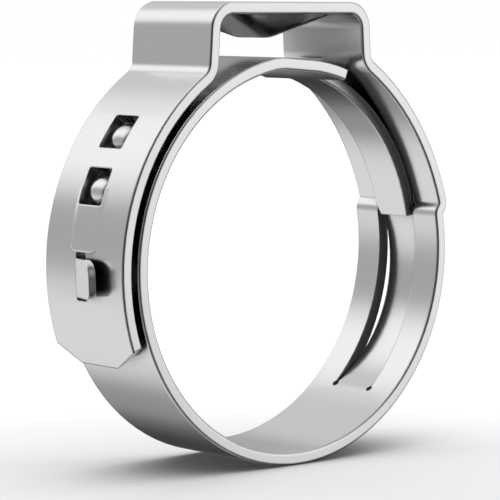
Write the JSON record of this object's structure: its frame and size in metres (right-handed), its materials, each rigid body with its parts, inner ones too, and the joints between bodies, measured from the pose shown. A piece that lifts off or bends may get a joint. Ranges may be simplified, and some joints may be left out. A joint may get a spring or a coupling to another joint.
{
  "type": "stepless ear hose clamp",
  "caption": "One-piece stainless ear clamp ring with a dimpled ear, buttons and a hook in its overlap, and a sliding tongue for a gap-free grip on a small hose.",
  "frame": {"origin": "on the axis of the ring, in the plane of the strip edge that the clamp lies on", "axes": "+Z along the hose, up when the clamp lies on its strip edge; +Y from the ring's axis towards the ear"},
  "size_m": [0.0187, 0.0188, 0.005],
  "materials": {
    "stainless": "satin, bright"
  },
  "bodies": {
    "root": {"clamp_band": "stainless"}
  },
  "joints": []
}
